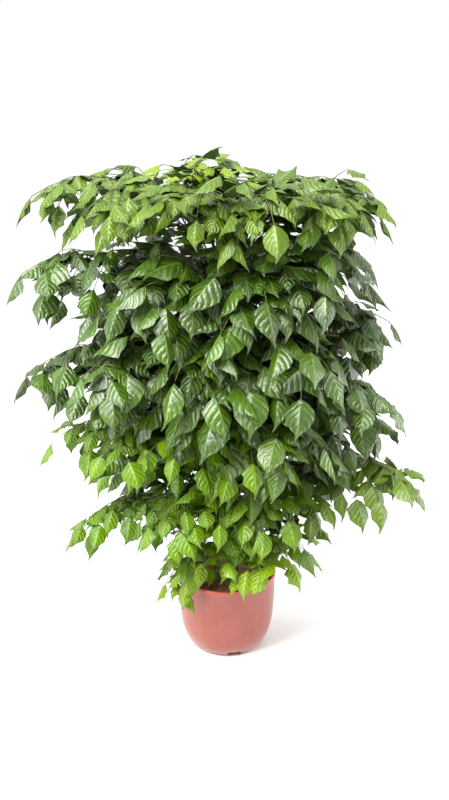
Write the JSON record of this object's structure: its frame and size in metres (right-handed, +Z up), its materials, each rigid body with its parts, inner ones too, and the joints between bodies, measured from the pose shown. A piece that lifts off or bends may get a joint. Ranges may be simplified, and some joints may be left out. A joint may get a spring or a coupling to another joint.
{
  "type": "potted china doll plant",
  "caption": "Bushy foliage plant with glossy compound leaves in tiers on slender stems, standing in soil in a round plastic nursery pot.",
  "frame": {"origin": "centre of the pot's flat base, on the surface that the pot stands on", "axes": "+Z up along the pot's axis, +X to the viewer's right, -Y towards the viewer"},
  "size_m": [0.6718, 0.489, 0.8306],
  "materials": {
    "pot": "satin",
    "soil": "matte",
    "stem": "matte",
    "mid_leaf": "satin",
    "dark_leaf": "gloss",
    "bright_leaf": "satin"
  },
  "bodies": {
    "root": {"pot": "pot", "soil": "soil", "stem_1": "stem", "stem_2": "stem", "stem_3": "stem", "stem_4": "stem", "stem_5": "stem", "top_leaf_1": "mid_leaf", "top_leaf_2": "mid_leaf", "top_leaf_3": "mid_leaf", "crown_leaf_1": "mid_leaf", "crown_leaf_2": "mid_leaf", "crown_leaf_3": "mid_leaf", "crown_leaf_4": "mid_leaf", "crown_leaf_5": "mid_leaf", "crown_leaf_6": "mid_leaf", "crown_leaf_7": "mid_leaf", "crown_leaf_8": "mid_leaf", "crown_leaf_9": "mid_leaf", "crown_leaf_10": "mid_leaf", "upper_leaf_1": "dark_leaf", "upper_leaf_2": "dark_leaf", "upper_leaf_3": "dark_leaf", "upper_leaf_4": "dark_leaf", "upper_leaf_5": "dark_leaf", "upper_leaf_6": "dark_leaf", "upper_leaf_7": "dark_leaf", "upper_leaf_8": "dark_leaf", "upper_leaf_9": "dark_leaf", "middle_leaf_1": "dark_leaf", "middle_leaf_2": "dark_leaf", "middle_leaf_3": "dark_leaf", "middle_leaf_4": "dark_leaf", "middle_leaf_5": "dark_leaf", "middle_leaf_6": "dark_leaf", "middle_leaf_7": "dark_leaf", "middle_leaf_8": "dark_leaf", "middle_leaf_9": "dark_leaf", "middle_leaf_10": "dark_leaf", "lower_leaf_1": "bright_leaf", "lower_leaf_2": "bright_leaf", "lower_leaf_3": "bright_leaf", "lower_leaf_4": "bright_leaf", "lower_leaf_5": "dark_leaf", "lower_leaf_6": "dark_leaf", "lower_leaf_7": "dark_leaf", "lower_leaf_8": "dark_leaf", "lower_leaf_9": "dark_leaf", "low_leaf_1": "bright_leaf", "low_leaf_2": "bright_leaf", "low_leaf_3": "bright_leaf", "low_leaf_4": "bright_leaf", "low_leaf_5": "mid_leaf", "low_leaf_6": "mid_leaf", "low_leaf_7": "mid_leaf", "low_leaf_8": "mid_leaf", "base_leaf_1": "bright_leaf", "base_leaf_2": "bright_leaf", "base_leaf_3": "bright_leaf", "base_leaf_4": "bright_leaf"}
  },
  "joints": []
}
